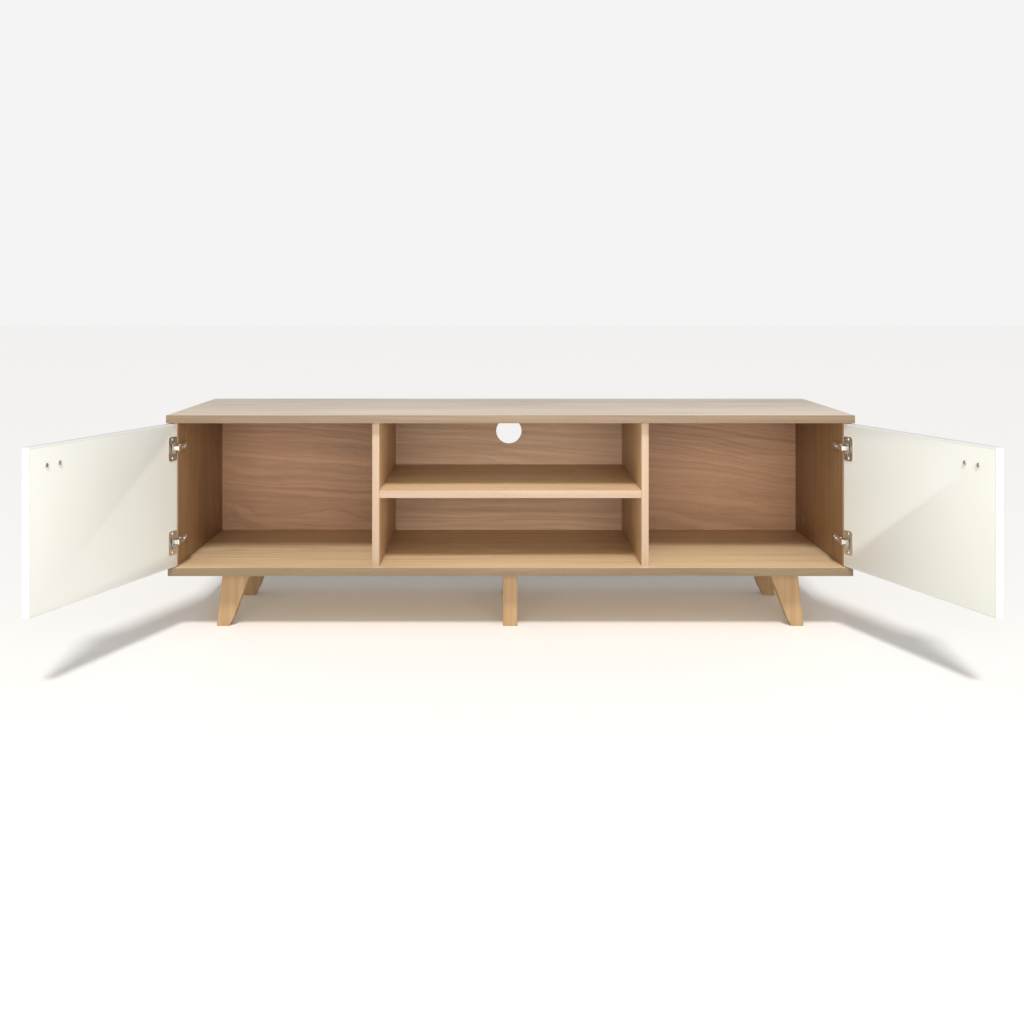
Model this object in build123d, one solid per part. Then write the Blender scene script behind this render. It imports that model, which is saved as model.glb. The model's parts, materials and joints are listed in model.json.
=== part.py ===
from build123d import *
import os

# Low media cabinet on splayed legs: two hinged doors, an open centre with one fixed shelf.
# Millimetres, front towards -Y, +Z up. The pieces are drawn about the middle of the carcass on the
# floor, and written out with the origin under the middle of the centre front leg's foot.
# The doors are written out fully open, swung OPEN_ANGLE away from closed.

# ---- carcass ----
WIDTH = 1400.0
DEPTH = 400.0
HEIGHT = 445.0
LEG_HEIGHT = 118.0
BOARD = 16.0
DIVIDER_BOARD = 15.0
BOTTOM_END_INSET = 3.0
BOTTOM_FRONT_INSET = 2.0
BOARD_EDGE_RADIUS = 0.8
FRONT_RECESS = 20.5  # front edges of the upright boards, behind the front of the top board
DIVIDER_MIDDLE = 276.0
SHELF_TOP = 289.5

# ---- back panels ----
BACK_THICK = 3.0
BACK_INSET = 4.0  # rear face of the back panels, in front of the rear of the top board
GROOVE_DEPTH = 4.0
GROOVE_PLAY = 0.2
BACK_EDGE_PLAY = 0.5
SEAM_HALF_GAP = 0.3
CABLE_HOLE_RADIUS = 30.0
CABLE_HOLE_HEIGHT = 369.0

# ---- doors ----
DOOR_WIDTH = 416.0
DOOR_THICK = 16.0
DOOR_PLAY = 1.5  # above and below
DOOR_EDGE_RADIUS = 2.0
DOOR_FRONT_SETBACK = 0.5
DOOR_END_INSET = 1.5  # hinge edge of the closed door, inside the end of the bottom board
OPEN_ANGLE = 110.0

# ---- concealed hinges ----
HINGE_FROM_BOARD = 52.0  # centre of each hinge from the bottom and the top of the opening
CUP_RADIUS = 13.0
CUP_WALL = 0.8
CUP_DEPTH = 10.0
CUP_FROM_EDGE = 16.0
PIN_FROM_CUP = 9.3
PIN_BELOW_FACE = 6.1
PIN_RADIUS = 1.0
PIN_PLAY = 0.05
FLANGE_WIDTH = 28.0
FLANGE_HEIGHT = 49.0
FLANGE_THICK = 1.2
FLANGE_CORNER = 6.0
FLANGE_SCREW_SPACING = 38.0
EYE_RADIUS = 2.0
EYE_WIDTH = 8.0
ARM_THICK = 1.6
ARM_WIDTH = 11.0
ARM_REACH = 13.7
ARM_LENGTH = 45.0
ARM_BEND_RADIUS = 1.4
PLATE_START = 17.6  # measured back from the pin
PLATE_LENGTH = 44.0
PLATE_WIDTH = 12.0
PLATE_CORNER = 2.0
ARM_SCREW_AT = 37.6
PLATE_SCREWS_AT = (23.6, 54.6)

# ---- screws ----
SMALL_SCREW = {"head_radius": 3.0, "head_height": 1.6, "shank_radius": 1.5, "length": 11.0}
ARM_SCREW = {"head_radius": 3.2, "head_height": 1.8, "shank_radius": 1.9, "length": 4.2}
PLATE_SCREW = {"head_radius": 2.8, "head_height": 1.2, "shank_radius": 1.6, "length": 14.5}
HANDLE_SCREW = {"head_radius": 4.0, "head_height": 2.2, "shank_radius": 2.0, "length": 26.0}
CROSS_WIDTH = 0.8
CROSS_DEPTH = 0.9
CROSS_SHARE = 1.3
DRIVER_PLAY = 0.4

# ---- handles ----
HANDLE_SCREW_SPACING = 32.0
HANDLE_FROM_FREE_EDGE = 58.0
HANDLE_FROM_DOOR_TOP = 35.0
HANDLE_LENGTH = 60.0
HANDLE_NECK = 9.0
HANDLE_NECK_REACH = 12.0
HANDLE_LIP = 16.0
HANDLE_REACH = 20.0
HANDLE_EDGE_RADIUS = 1.5
HANDLE_HOLE_PLAY = 0.25

# ---- legs ----
LEG_THICK = 30.0
LEG_FROM_FRONT = 60.0
LEG_OUTLINE = ((598.6, 118.0), (539.4, 118.0), (576.4, 17.5), (586.3, 0.0), (611.7, 0.0))
LEG_EDGE = 1.2
LEG_STUD_AT = 580.0
LEG_DOWEL_AT = 558.0
CENTRE_STUD_AT = -4.0
CENTRE_DOWEL_AT = 9.0
STUD_RADIUS = 4.0
STUD_IN_LEG = 30.0
STUD_IN_BOARD = 11.5
INSERT_RADIUS = 6.0
INSERT_LENGTH = 12.0
LEG_DOWEL_RADIUS = 3.0
LEG_DOWEL_IN_LEG = 12.0
LEG_DOWEL_IN_BOARD = 9.0

# ---- knock-down fittings ----
DOWEL_RADIUS = 4.0
DOWEL_IN_FACE = 9.0
DOWEL_IN_EDGE = 21.0
DOWEL_OFFSET = 155.0
CAM_RADIUS = 7.5
CAM_DEPTH = 12.5
CAM_FROM_END = 34.0
CAM_OFFSET = 122.0
CAM_POCKET_RADIUS = 3.7
CAM_POCKET_PAST_CENTRE = 2.5
COVER_RADIUS = 9.0
COVER_THICK = 0.3
BOLT_THREAD_RADIUS = 2.5
BOLT_THREAD = 11.0
BOLT_SHAFT_RADIUS = 3.0
BOLT_SHAFT = 27.0
BOLT_NECK_RADIUS = 2.0
BOLT_NECK = 4.0
BOLT_HEAD_RADIUS = 3.2
BOLT_HEAD = 4.5
BOLT_CHANNEL_RADIUS = 3.5
NAIL_RADIUS = 0.8
NAIL_LENGTH = 18.0
NAIL_HEAD_RADIUS = 1.8
NAIL_HEAD = 0.6
NAIL_ROWS = 5
NAIL_END_DISTANCE = 26.0
NAIL_SEAM_OFFSET = 3.5
SHELF_NAIL_SPACING = 150.0

# ---- worked out from the above ----
TOP_UNDERSIDE = HEIGHT - BOARD
BOTTOM_TOP = LEG_HEIGHT + BOARD
HALF_WIDTH = WIDTH / 2
HALF_DEPTH = DEPTH / 2
UPRIGHT_FRONT = FRONT_RECESS - HALF_DEPTH
BACK_OUTER = HALF_DEPTH - BACK_INSET
BACK_INNER = BACK_OUTER - BACK_THICK
SIDE_OUTER = HALF_WIDTH - BOTTOM_END_INSET
SIDE_INNER = SIDE_OUTER - BOARD
DIVIDER_INNER = DIVIDER_MIDDLE - DIVIDER_BOARD / 2
DIVIDER_OUTER = DIVIDER_MIDDLE + DIVIDER_BOARD / 2
SHELF_MIDDLE = SHELF_TOP - BOARD / 2
UPRIGHT_MIDDLE = (UPRIGHT_FRONT + BACK_INNER) / 2
DOOR_OUTER_FACE = DOOR_FRONT_SETBACK - HALF_DEPTH
DOOR_INNER_FACE = DOOR_OUTER_FACE + DOOR_THICK
DOOR_BOTTOM = BOTTOM_TOP + DOOR_PLAY
DOOR_TOP = TOP_UNDERSIDE - DOOR_PLAY
DOOR_HINGE_EDGE = -(SIDE_OUTER - DOOR_END_INSET)
CUP_X = DOOR_HINGE_EDGE + CUP_FROM_EDGE
PIN_X = CUP_X - PIN_FROM_CUP
PIN_Y = DOOR_INNER_FACE - PIN_BELOW_FACE
HINGE_HEIGHTS = {"lower": BOTTOM_TOP + HINGE_FROM_BOARD, "upper": TOP_UNDERSIDE - HINGE_FROM_BOARD}
HANDLE_X = DOOR_HINGE_EDGE + DOOR_WIDTH - HANDLE_FROM_FREE_EDGE
HANDLE_Z = DOOR_TOP - HANDLE_FROM_DOOR_TOP
ARM_OUTER_X = PIN_X + ARM_REACH
PLATE_TOP_X = ARM_OUTER_X - ARM_THICK
LEG_ROWS = {
    "front": LEG_FROM_FRONT - HALF_DEPTH + LEG_THICK / 2,
    "rear": HALF_DEPTH - LEG_FROM_FRONT - LEG_THICK / 2,
}
TO_FOOT_ORIGIN = Pos(0, -LEG_ROWS["front"], 0)
FROM_BASE = (Align.CENTER, Align.CENTER, Align.MIN)


def block(x, y, z):
    """A box between the low and high values given for each axis."""
    size = [high - low for low, high in (x, y, z)]
    middle = [(low + high) / 2 for low, high in (x, y, z)]
    return Pos(*middle) * Box(*size)


def rod(radius, start, direction, length):
    """A cylinder that starts at a point and runs along a direction."""
    return Plane(origin=start, z_dir=direction) * Cylinder(radius, length, align=FROM_BASE)


def mirrored(shape):
    """The same shape on the other side of the middle of the cabinet."""
    return mirror(shape, about=Plane.YZ)


def both_sides(shapes):
    """The shapes of the left half with their twins of the right half."""
    return shapes + [mirrored(shape) for shape in shapes]


def screw(place, head_radius, head_height, shank_radius, length):
    """A cross-head screw: its head starts at the place's origin and stands along the place's +Z."""
    head = Cylinder(head_radius, head_height, align=FROM_BASE)
    rim = head.faces().sort_by(Axis.Z)[-1].edges()
    head = fillet(rim, head_height / 2)
    slot_length = head_radius * CROSS_SHARE
    slot_base = head_height - CROSS_DEPTH
    for angle in (0, 90):
        slot = Box(slot_length, CROSS_WIDTH, CROSS_DEPTH, align=FROM_BASE)
        head -= Pos(0, 0, slot_base) * Rot(0, 0, angle) * slot
    shank = Pos(0, 0, -length) * Cylinder(shank_radius, length, align=FROM_BASE)
    return place * (head + shank)


# ---- knock-down joints: local +Z enters the face-drilled board, +X points out of the cam's face ----
def joint_places():
    """Each board-end joint: its place and the thickness of the board that holds the cams."""
    places = []
    for middle, thick, cam_side in (
        (-(SIDE_OUTER + SIDE_INNER) / 2, BOARD, 1),
        (-DIVIDER_MIDDLE, DIVIDER_BOARD, -1),
        (DIVIDER_MIDDLE, DIVIDER_BOARD, 1),
        ((SIDE_OUTER + SIDE_INNER) / 2, BOARD, -1),
    ):
        for height, upward in ((TOP_UNDERSIDE, 1), (BOTTOM_TOP, -1)):
            plane = Plane(
                origin=(middle, UPRIGHT_MIDDLE, height), x_dir=(cam_side, 0, 0), z_dir=(0, 0, upward)
            )
            places.append((plane.location, thick))
    for side in (-1, 1):
        plane = Plane(
            origin=(side * DIVIDER_INNER, UPRIGHT_MIDDLE, SHELF_MIDDLE), x_dir=(0, 0, -1), z_dir=(side, 0, 0)
        )
        places.append((plane.location, BOARD))
    return places


def joint_dowel(place, offset):
    return place * Pos(0, offset, -DOWEL_IN_EDGE) * Cylinder(
        DOWEL_RADIUS, DOWEL_IN_EDGE + DOWEL_IN_FACE, align=FROM_BASE
    )


def joint_bolt(place, offset):
    thread = Cylinder(BOLT_THREAD_RADIUS, BOLT_THREAD, align=FROM_BASE)
    shaft = Pos(0, 0, -BOLT_SHAFT) * Cylinder(BOLT_SHAFT_RADIUS, BOLT_SHAFT, align=FROM_BASE)
    neck_base = -BOLT_SHAFT - BOLT_NECK
    neck = Pos(0, 0, neck_base) * Cylinder(BOLT_NECK_RADIUS, BOLT_NECK, align=FROM_BASE)
    head = Pos(0, 0, neck_base - BOLT_HEAD) * Cylinder(BOLT_HEAD_RADIUS, BOLT_HEAD, align=FROM_BASE)
    return place * Pos(0, offset, 0) * (thread + shaft + neck + head)


def joint_channel(place, offset):
    """The bolt's way from the board's end to the cam."""
    return place * Pos(0, offset, -CAM_FROM_END) * Cylinder(
        BOLT_CHANNEL_RADIUS, CAM_FROM_END, align=FROM_BASE
    )


def joint_cam_bore(place, thick, offset):
    face = Vector(thick / 2, offset, -CAM_FROM_END)
    return place * rod(CAM_RADIUS, face, (-1, 0, 0), CAM_DEPTH)


def joint_cam(place, thick, offset):
    """A cam disc, open towards the bolt and cross-slotted on its face."""
    pocket_length = CAM_RADIUS + CAM_POCKET_PAST_CENTRE
    pocket_base = -CAM_FROM_END - CAM_POCKET_PAST_CENTRE
    pocket = Pos(0, offset, pocket_base) * Cylinder(CAM_POCKET_RADIUS, pocket_length, align=FROM_BASE)
    slot_middle = Pos(thick / 2, offset, -CAM_FROM_END)
    slot = slot_middle * Box(2 * CROSS_DEPTH, CROSS_WIDTH, CAM_RADIUS)
    cross = slot_middle * Box(2 * CROSS_DEPTH, CAM_RADIUS, CROSS_WIDTH)
    return joint_cam_bore(place, thick, offset) - place * (pocket + slot + cross)


def joint_cover(place, thick, offset):
    """A thin round sticker over the cam, in the colour of the board."""
    return place * rod(COVER_RADIUS, (thick / 2, offset, -CAM_FROM_END), (1, 0, 0), COVER_THICK)


def make_fittings():
    """Dowels, cam bolts, cams, the covers over the cams, and the space taken out of the boards."""
    dowels = []
    bolts = []
    cams = []
    covers = []
    spaces = []
    for place, thick in joint_places():
        for side in (-1, 1):
            dowels.append(joint_dowel(place, side * DOWEL_OFFSET))
            offset = side * CAM_OFFSET
            bolts.append(joint_bolt(place, offset))
            cams.append(joint_cam(place, thick, offset))
            covers.append(joint_cover(place, thick, offset))
            spaces.append(joint_channel(place, offset))
            spaces.append(joint_cam_bore(place, thick, offset))
    return dowels, bolts, cams, covers, spaces


# ---- back panels and their nails ----
def nail(x, z):
    shank = rod(NAIL_RADIUS, (x, BACK_OUTER, z), (0, -1, 0), NAIL_LENGTH)
    return shank + rod(NAIL_HEAD_RADIUS, (x, BACK_OUTER, z), (0, 1, 0), NAIL_HEAD)


def make_nails():
    nails = []
    low = BOTTOM_TOP + NAIL_END_DISTANCE
    high = TOP_UNDERSIDE - NAIL_END_DISTANCE
    side_line = (SIDE_OUTER + SIDE_INNER) / 2
    lines = (side_line, DIVIDER_MIDDLE - NAIL_SEAM_OFFSET, DIVIDER_MIDDLE + NAIL_SEAM_OFFSET)
    for row in range(NAIL_ROWS):
        z = low + (high - low) * row / (NAIL_ROWS - 1)
        for x in lines:
            nails += [nail(-x, z), nail(x, z)]
    nails += [nail(step * SHELF_NAIL_SPACING, SHELF_MIDDLE) for step in (-1, 0, 1)]
    return nails


def make_back_panels(nails):
    z = (BOTTOM_TOP - GROOVE_DEPTH + BACK_EDGE_PLAY, TOP_UNDERSIDE + GROOVE_DEPTH - BACK_EDGE_PLAY)
    y = (BACK_INNER, BACK_OUTER)
    seam = DIVIDER_MIDDLE
    left = block((-SIDE_OUTER + BACK_EDGE_PLAY, -seam - SEAM_HALF_GAP), y, z)
    centre = block((-seam + SEAM_HALF_GAP, seam - SEAM_HALF_GAP), y, z)
    centre -= rod(CABLE_HOLE_RADIUS, (0, BACK_INNER, CABLE_HOLE_HEIGHT), (0, 1, 0), BACK_THICK)
    panels = {"left_back_panel": left, "centre_back_panel": centre, "right_back_panel": mirrored(left)}
    return {name: panel - nails for name, panel in panels.items()}


# ---- boards ----
def groove(z):
    y = (BACK_INNER, BACK_OUTER + GROOVE_PLAY)
    return block((-SIDE_OUTER, SIDE_OUTER), y, z)


def edged_board(x, y, z):
    """A board whose arrises are broken all round."""
    board = block(x, y, z)
    return fillet(board.edges(), BOARD_EDGE_RADIUS)


def make_boards(cutters):
    """Every carcass board, with the fittings' spaces cut out of it."""
    top = edged_board((-HALF_WIDTH, HALF_WIDTH), (-HALF_DEPTH, HALF_DEPTH), (TOP_UNDERSIDE, HEIGHT))
    top -= groove((TOP_UNDERSIDE, TOP_UNDERSIDE + GROOVE_DEPTH))
    bottom_front = BOTTOM_FRONT_INSET - HALF_DEPTH
    bottom = edged_board((-SIDE_OUTER, SIDE_OUTER), (bottom_front, HALF_DEPTH), (LEG_HEIGHT, BOTTOM_TOP))
    bottom -= groove((BOTTOM_TOP - GROOVE_DEPTH, BOTTOM_TOP))
    upright = ((UPRIGHT_FRONT, BACK_INNER), (BOTTOM_TOP, TOP_UNDERSIDE))
    shelf_z = (SHELF_TOP - BOARD, SHELF_TOP)
    boards = {
        "top_board": top,
        "bottom_board": bottom,
        "left_side_panel": block((-SIDE_OUTER, -SIDE_INNER), *upright),
        "right_side_panel": block((SIDE_INNER, SIDE_OUTER), *upright),
        "left_divider": block((-DIVIDER_OUTER, -DIVIDER_INNER), *upright),
        "right_divider": block((DIVIDER_INNER, DIVIDER_OUTER), *upright),
        "centre_shelf": block((-DIVIDER_INNER, DIVIDER_INNER), (UPRIGHT_FRONT, BACK_INNER), shelf_z),
    }
    return {name: cut_where_met(board, cutters) for name, board in boards.items()}


def cut_where_met(board, cutters):
    """Takes out of a board only the cutters whose boxes reach into it."""
    room = board.bounding_box()
    met = []
    for cutter in cutters:
        box = cutter.bounding_box()
        apart = (
            box.max.X <= room.min.X
            or box.min.X >= room.max.X
            or box.max.Y <= room.min.Y
            or box.min.Y >= room.max.Y
            or box.max.Z <= room.min.Z
            or box.min.Z >= room.max.Z
        )
        if not apart:
            met.append(cutter)
    return board - met if met else board


# ---- legs ----
def splayed_leg(y):
    """A tapering fin that leans outwards, on the right of the cabinet."""
    outline = Plane.XZ * make_face(Polyline(*LEG_OUTLINE, close=True))
    leg = Pos(0, y + LEG_THICK / 2, 0) * extrude(outline, LEG_THICK)
    return chamfer(leg.edges().filter_by(Axis.Y), LEG_EDGE)


def centre_leg(y):
    leg = block((-LEG_THICK / 2, LEG_THICK / 2), (y - LEG_THICK / 2, y + LEG_THICK / 2), (0, LEG_HEIGHT))
    return chamfer(leg.edges().filter_by(Axis.Z), LEG_EDGE)


def leg_stud(x, y):
    return rod(STUD_RADIUS, (x, y, LEG_HEIGHT - STUD_IN_LEG), (0, 0, 1), STUD_IN_LEG + STUD_IN_BOARD)


def leg_dowel(x, y):
    base = (x, y, LEG_HEIGHT - LEG_DOWEL_IN_LEG)
    return rod(LEG_DOWEL_RADIUS, base, (0, 0, 1), LEG_DOWEL_IN_LEG + LEG_DOWEL_IN_BOARD)


def insert_space(x, y):
    return rod(INSERT_RADIUS, (x, y, LEG_HEIGHT), (0, 0, 1), INSERT_LENGTH)


def make_legs():
    """The legs by name, and their studs, dowels and insert nuts with the spaces those take."""
    legs = {}
    studs = []
    dowels = []
    spaces = []
    for row, y in LEG_ROWS.items():
        right = splayed_leg(y)
        legs[f"right_{row}_leg"] = right
        legs[f"left_{row}_leg"] = mirrored(right)
        legs[f"centre_{row}_leg"] = centre_leg(y)
        for stud_x in (-LEG_STUD_AT, CENTRE_STUD_AT, LEG_STUD_AT):
            studs.append(leg_stud(stud_x, y))
            spaces.append(insert_space(stud_x, y))
        dowels += [leg_dowel(x, y) for x in (-LEG_DOWEL_AT, CENTRE_DOWEL_AT, LEG_DOWEL_AT)]
    inserts = [space - stud for space, stud in zip(spaces, studs)]
    fixings = studs + dowels
    legs = {name: cut_where_met(leg, fixings) for name, leg in legs.items()}
    return legs, studs, dowels, inserts, spaces


# ---- left door, closed, and what is fixed to it ----
def door_panel():
    x = (DOOR_HINGE_EDGE, DOOR_HINGE_EDGE + DOOR_WIDTH)
    panel = block(x, (DOOR_OUTER_FACE, DOOR_INNER_FACE), (DOOR_BOTTOM, DOOR_TOP))
    return fillet(panel.edges(), DOOR_EDGE_RADIUS)


def cup_outside(z):
    return rod(CUP_RADIUS, (CUP_X, DOOR_INNER_FACE, z), (0, -1, 0), CUP_DEPTH)


def hinge_pin(z):
    """The pin, trimmed flush with the outside of the cup's round wall."""
    pin = rod(PIN_RADIUS, (PIN_X, PIN_Y, z - CUP_RADIUS), (0, 0, 1), 2 * CUP_RADIUS)
    return pin & cup_outside(z)


def hinge_cup(z, screws):
    """The cup pressed into the door, with its screw flange on the door's inner face."""
    face = Plane(origin=(CUP_X, DOOR_INNER_FACE, z), x_dir=(1, 0, 0), z_dir=(0, 1, 0))
    outline = RectangleRounded(FLANGE_WIDTH, FLANGE_HEIGHT, FLANGE_CORNER)
    flange = face * extrude(outline, FLANGE_THICK)
    mouth = (CUP_X, DOOR_INNER_FACE + FLANGE_THICK, z)
    hollow = rod(CUP_RADIUS - CUP_WALL, mouth, (0, -1, 0), CUP_DEPTH + FLANGE_THICK - CUP_WALL)
    return flange + cup_outside(z) - hollow - hinge_pin(z) - screws


def flange_screws(z):
    seat = DOOR_INNER_FACE + FLANGE_THICK
    places = [
        Plane(origin=(CUP_X, seat, z + side * FLANGE_SCREW_SPACING / 2), z_dir=(0, 1, 0)).location
        for side in (-1, 1)
    ]
    return [screw(place, **SMALL_SCREW) for place in places]


def handle_screws():
    places = [
        Plane(origin=(HANDLE_X + side * HANDLE_SCREW_SPACING / 2, DOOR_INNER_FACE, HANDLE_Z), z_dir=(0, 1, 0))
        for side in (-1, 1)
    ]
    return [screw(place.location, **HANDLE_SCREW) for place in places]


def handle(screws):
    """A solid pull with a neck and a wider lip to hook the fingers behind."""
    x = (HANDLE_X - HANDLE_LENGTH / 2, HANDLE_X + HANDLE_LENGTH / 2)
    neck_y = (DOOR_OUTER_FACE - HANDLE_NECK_REACH, DOOR_OUTER_FACE)
    neck = block(x, neck_y, (HANDLE_Z - HANDLE_NECK / 2, HANDLE_Z + HANDLE_NECK / 2))
    lip_y = (DOOR_OUTER_FACE - HANDLE_REACH, DOOR_OUTER_FACE - HANDLE_NECK_REACH)
    lip = block(x, lip_y, (HANDLE_Z - HANDLE_LIP / 2, HANDLE_Z + HANDLE_LIP / 2))
    lip = fillet(lip.edges(), HANDLE_EDGE_RADIUS)
    return neck + lip - screws


def make_left_door():
    """The closed left door's pieces by node name."""
    pieces = {}
    screws = []
    pins = {name: hinge_pin(z) for name, z in HINGE_HEIGHTS.items()}
    panel = door_panel()
    for name, z in HINGE_HEIGHTS.items():
        own_screws = flange_screws(z)
        pieces[f"{name}_hinge_cup"] = hinge_cup(z, own_screws)
        pieces[f"{name}_hinge_pin"] = pins[name]
        panel -= cup_outside(z)
        screws += own_screws
    grip_screws = handle_screws()
    clearance = HANDLE_SCREW["shank_radius"] + HANDLE_HOLE_PLAY
    for side in (-1, 1):
        start = (HANDLE_X + side * HANDLE_SCREW_SPACING / 2, DOOR_INNER_FACE, HANDLE_Z)
        panel -= rod(clearance, start, (0, -1, 0), DOOR_THICK)
    pieces["door"] = panel - screws
    pieces["door_handle"] = handle(grip_screws)
    pieces["door_handle_screws"] = Compound(grip_screws)
    pieces["hinge_cup_screws"] = Compound(screws)
    return pieces


def swung_open(shape):
    """Turns a closed left-door piece about the hinge pins to where the open door stands."""
    to_pin = Pos(PIN_X, PIN_Y, 0)
    return to_pin * Rot(0, 0, -OPEN_ANGLE) * to_pin.inverse() * shape


# ---- left hinge parts on the side panel ----
def arm_screw(z):
    place = Plane(origin=(ARM_OUTER_X, PIN_Y + ARM_SCREW_AT, z), z_dir=(1, 0, 0)).location
    return screw(place, **ARM_SCREW)


def plate_screws(z):
    places = [
        Plane(origin=(PLATE_TOP_X, PIN_Y + back, z), z_dir=(1, 0, 0)).location for back in PLATE_SCREWS_AT
    ]
    return [screw(place, **PLATE_SCREW) for place in places]


def hinge_arm(z, own_screw):
    """A cranked arm: an eye round the pin, a reach across, and a strip over the mounting plate."""
    strip_z = (z - ARM_WIDTH / 2, z + ARM_WIDTH / 2)
    eye_z = (z - EYE_WIDTH / 2, z + EYE_WIDTH / 2)
    eye_base = (PIN_X, PIN_Y, eye_z[0])
    front = PIN_Y - EYE_RADIUS
    reach = block((PIN_X, ARM_OUTER_X), (front, front + ARM_THICK), eye_z)
    strip = block((PLATE_TOP_X, ARM_OUTER_X), (front, PIN_Y + ARM_LENGTH), strip_z)
    outer_corner = strip.edges().filter_by(Axis.Z).sort_by(Axis.Y)[:2].sort_by(Axis.X)[-1]
    strip = fillet(outer_corner, ARM_BEND_RADIUS)
    reach = reach - block((PLATE_TOP_X, ARM_OUTER_X), (front, front + ARM_THICK), eye_z)
    arm = rod(EYE_RADIUS, eye_base, (0, 0, 1), EYE_WIDTH) + reach + strip
    arm -= rod(PIN_RADIUS + PIN_PLAY, eye_base, (0, 0, 1), EYE_WIDTH)
    reach_through = (ARM_OUTER_X, PIN_Y + PLATE_SCREWS_AT[0], z)
    driver_radius = PLATE_SCREW["head_radius"] + DRIVER_PLAY
    return arm - rod(driver_radius, reach_through, (-1, 0, 0), ARM_THICK) - own_screw


def hinge_plate(z, screws):
    x = (-SIDE_INNER, PLATE_TOP_X)
    start = PIN_Y + PLATE_START
    plate = block(x, (start, start + PLATE_LENGTH), (z - PLATE_WIDTH / 2, z + PLATE_WIDTH / 2))
    plate = fillet(plate.edges().filter_by(Axis.X), PLATE_CORNER)
    return plate - screws


def make_left_hinges():
    """The left hinges' fixed pieces by node name, and the screws that enter the side panel."""
    pieces = {}
    arm_screws = []
    all_plate_screws = []
    for name, z in HINGE_HEIGHTS.items():
        own_arm_screw = arm_screw(z)
        own_plate_screws = plate_screws(z)
        pieces[f"{name}_hinge_arm"] = hinge_arm(z, own_arm_screw)
        pieces[f"{name}_hinge_plate"] = hinge_plate(z, own_plate_screws + [own_arm_screw])
        arm_screws.append(own_arm_screw)
        all_plate_screws += own_plate_screws
    return pieces, arm_screws, all_plate_screws


def make_nodes():
    """Every node of the assembly by name."""
    dowels, bolts, cams, covers, spaces = make_fittings()
    nails = make_nails()
    legs, studs, leg_dowels, inserts, insert_spaces = make_legs()
    hinges, arm_screws, plate_screw_list = make_left_hinges()
    plate_screw_list = both_sides(plate_screw_list)
    cutters = dowels + bolts + spaces + nails + leg_dowels + insert_spaces + plate_screw_list
    nodes = make_boards(cutters)
    nodes.update(make_back_panels(nails))
    nodes.update(legs)
    for name, piece in make_left_door().items():
        opened = swung_open(piece)
        nodes[f"left_{name}"] = opened
        nodes[f"right_{name}"] = mirrored(opened)
    for name, piece in hinges.items():
        nodes[f"left_{name}"] = piece
        nodes[f"right_{name}"] = mirrored(piece)
    nodes["hinge_arm_screws"] = Compound(both_sides(arm_screws))
    nodes["hinge_plate_screws"] = Compound(plate_screw_list)
    nodes["board_dowels"] = Compound(dowels)
    nodes["cam_bolts"] = Compound(bolts)
    nodes["cam_locks"] = Compound(cams)
    nodes["cam_covers"] = Compound(covers)
    nodes["back_panel_nails"] = Compound(nails)
    nodes["leg_studs"] = Compound(studs)
    nodes["leg_dowels"] = Compound(leg_dowels)
    nodes["leg_insert_nuts"] = Compound(inserts)
    return nodes


def main():
    os.makedirs("parts", exist_ok=True)
    nodes = make_nodes()
    for name, shape in nodes.items():
        export_step(TO_FOOT_ORIGIN * shape, f"parts/{name}.step")
    print(len(nodes), "nodes written")


main()
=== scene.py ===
# The looks of a low media cabinet: oak boards, two white doors standing open, splayed oak legs.
import json
import math

import bmesh
import bpy
from mathutils import Matrix, Vector


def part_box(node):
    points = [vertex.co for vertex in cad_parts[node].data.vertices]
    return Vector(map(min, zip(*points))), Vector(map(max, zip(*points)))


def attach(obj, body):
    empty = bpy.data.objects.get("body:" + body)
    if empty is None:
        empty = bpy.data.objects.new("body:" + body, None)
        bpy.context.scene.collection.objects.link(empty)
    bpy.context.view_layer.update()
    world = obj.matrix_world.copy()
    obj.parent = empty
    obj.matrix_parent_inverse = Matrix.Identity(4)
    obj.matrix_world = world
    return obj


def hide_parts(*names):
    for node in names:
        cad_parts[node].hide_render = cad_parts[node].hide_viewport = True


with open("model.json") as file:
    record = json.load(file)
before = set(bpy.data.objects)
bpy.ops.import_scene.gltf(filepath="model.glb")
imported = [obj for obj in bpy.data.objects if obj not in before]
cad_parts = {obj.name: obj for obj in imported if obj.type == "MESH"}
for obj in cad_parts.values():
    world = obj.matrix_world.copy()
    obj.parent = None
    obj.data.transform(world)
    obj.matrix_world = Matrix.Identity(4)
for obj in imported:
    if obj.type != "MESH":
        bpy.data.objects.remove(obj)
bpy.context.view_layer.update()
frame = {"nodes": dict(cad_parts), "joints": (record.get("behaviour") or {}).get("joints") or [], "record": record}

MM = 0.001

# ---- how far a face's normal agrees with a direction, as a cosine ----
FLAT = 0.999
ARRIS_LEAN = 0.3

# ---- how the boards are finished ----
ARRIS = 0.7 * MM
ARRIS_STEPS = 2
GLUE_LINE = 0.25 * MM
GLUE_DEPTH = 0.15 * MM
SMOOTH_ANGLE = math.radians(35)

# ---- round covers stuck over the cams ----
COVER_RADIUS = 9.0 * MM
COVER_THICK = 0.3 * MM
COVER_EASE = 0.1 * MM
COVER_FROM_END = 34.0 * MM
COVER_SPREAD = 122.0 * MM
COVER_SIDES = 48

# ---- back panels ----
PANEL_EASE = 0.25 * MM
HOLE_EASE = 0.3 * MM
HOLE_SIDES = 96
HOLE_CUTTER_LENGTH = 20.0 * MM
RIM_LEVEL = 0.1 * MM
RIM_REACH = 0.2 * MM

# ---- doors ----
DOOR_EDGE = 2.0 * MM
DOOR_EDGE_STEPS = 4
FOIL_SEAM_FROM_EDGE = 1.2 * MM
CUP_BORE = 13.0 * MM
CUP_BORE_DEPTH = 10.0 * MM
CUP_BORE_SIDES = 64

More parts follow.
